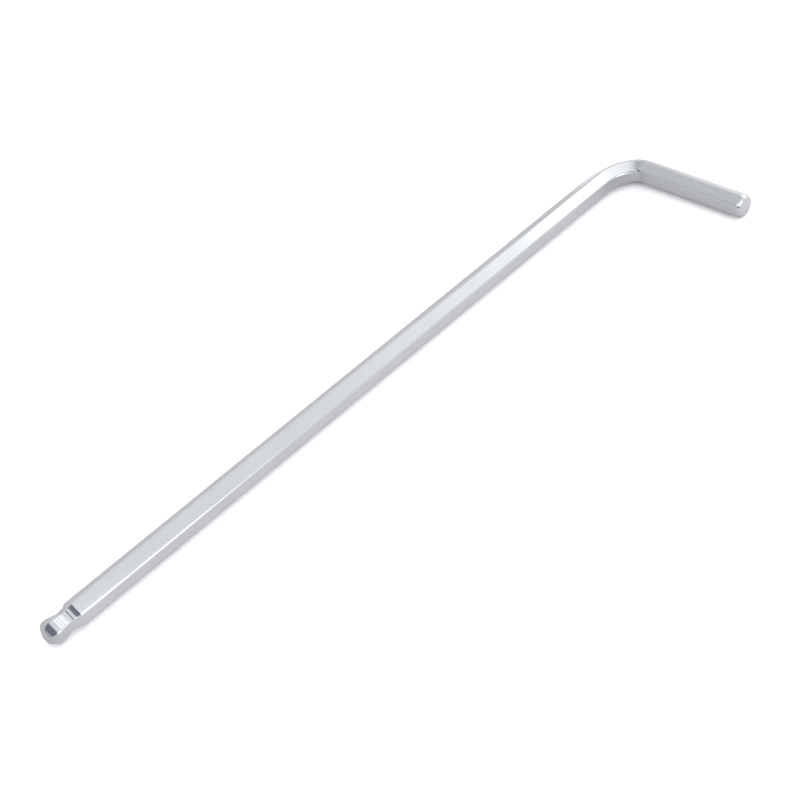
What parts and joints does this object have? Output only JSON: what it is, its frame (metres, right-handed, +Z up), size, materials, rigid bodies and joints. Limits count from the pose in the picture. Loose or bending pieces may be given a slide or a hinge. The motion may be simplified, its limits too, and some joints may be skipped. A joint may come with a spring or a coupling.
{
  "type": "hex key",
  "caption": "L-shaped steel hex key: long arm with a ground ball end, compact bend and a short arm with a chamfered plain end.",
  "frame": {"origin": "on the resting surface, below the middle of the key's outline", "axes": "+X along the long arm, from the ball end towards the bend; the short arm points to -Y; +Z up, square to both arms"},
  "size_m": [0.144, 0.028, 0.0044],
  "materials": {
    "plated_steel": "satin chrome plating"
  },
  "bodies": {
    "root": {"hex_key": "plated_steel"}
  },
  "joints": []
}
